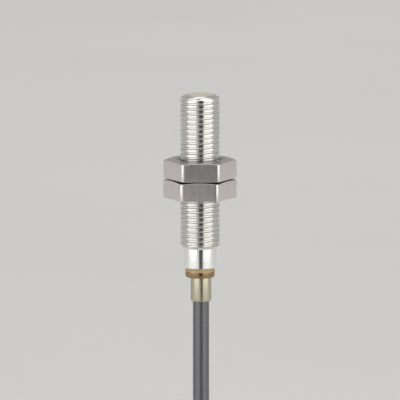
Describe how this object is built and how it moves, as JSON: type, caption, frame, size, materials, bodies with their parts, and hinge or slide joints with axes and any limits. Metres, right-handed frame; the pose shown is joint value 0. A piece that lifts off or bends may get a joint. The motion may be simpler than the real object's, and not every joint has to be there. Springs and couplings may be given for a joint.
{
  "type": "inductive proximity sensor",
  "caption": "Threaded cylindrical inductive proximity sensor with hexagon lock nuts, a light ring at the rear and a moulded cable ending in bare cores.",
  "frame": {"origin": "on the barrel's axis, in the plane between the two lock nuts, where a bracket's plate is clamped", "axes": "+Z along the barrel towards the sensing face; one flat of the nuts faces -Y"},
  "size_m": [0.0414, 0.0148, 0.1879],
  "materials": {
    "barrel_steel": "bright turned and rolled stainless steel",
    "nut_steel": "satin brushed steel, bright on the turned corners",
    "face_plastic": "matt moulded plastic, beige-grey",
    "ring_amber": "translucent amber moulded plastic",
    "sleeve_rubber": "satin olive-beige moulded rubber",
    "cable_sheath": "satin dark grey extruded sheath",
    "tie_nylon": "satin black nylon",
    "ferrite": "matt sintered ferrite",
    "bobbin_nylon": "natural moulded nylon",
    "copper": "enamelled copper wire",
    "board_laminate": "green lacquered glass laminate",
    "chip_black": "matt black moulded package",
    "ceramic_tan": "tan ceramic chip",
    "led_amber": "clear amber lamp",
    "potting_resin": "cast resin",
    "core_brown": "brown core insulation",
    "core_blue": "blue core insulation",
    "core_black": "black core insulation",
    "ferrule_tinned": "tinned crimped tube"
  },
  "bodies": {
    "housing": {"housing_barrel": "barrel_steel", "sensing_face_cap": "face_plastic", "ferrite_core": "ferrite", "coil_bobbin": "bobbin_nylon", "sensing_coil": "copper", "coil_lead_left": "copper", "coil_lead_right": "copper", "circuit_board": "board_laminate", "oscillator_chip": "chip_black", "tuning_capacitor": "ceramic_tan", "trim_resistor": "chip_black", "led_resistor": "chip_black", "status_led_back": "led_amber", "protection_diode": "chip_black", "output_transistor": "chip_black", "supply_capacitor": "ceramic_tan", "status_led_front": "led_amber", "potting_compound": "potting_resin", "inner_core_brown": "core_brown", "inner_core_blue": "core_blue", "inner_core_black": "core_black", "light_ring": "ring_amber", "cable_sleeve": "sleeve_rubber", "cable_lead": "cable_sheath", "cable_hank": "cable_sheath", "cable_tie": "tie_nylon", "core_end_brown": "core_brown", "core_ferrule_brown": "ferrule_tinned", "core_end_blue": "core_blue", "core_ferrule_blue": "ferrule_tinned", "core_end_black": "core_black", "core_ferrule_black": "ferrule_tinned"},
    "upper_nut": {"upper_nut": "nut_steel"},
    "lower_nut": {"lower_nut": "nut_steel"}
  },
  "joints": [
    {"name": "upper_nut_travel", "type": "slide", "parent": "housing", "child": "upper_nut", "axis": [0, 0, 1], "range_m": [0, 0.011]},
    {"name": "lower_nut_travel", "type": "slide", "parent": "housing", "child": "lower_nut", "axis": [0, 0, 1], "range_m": [-0.009, 0]}
  ]
}
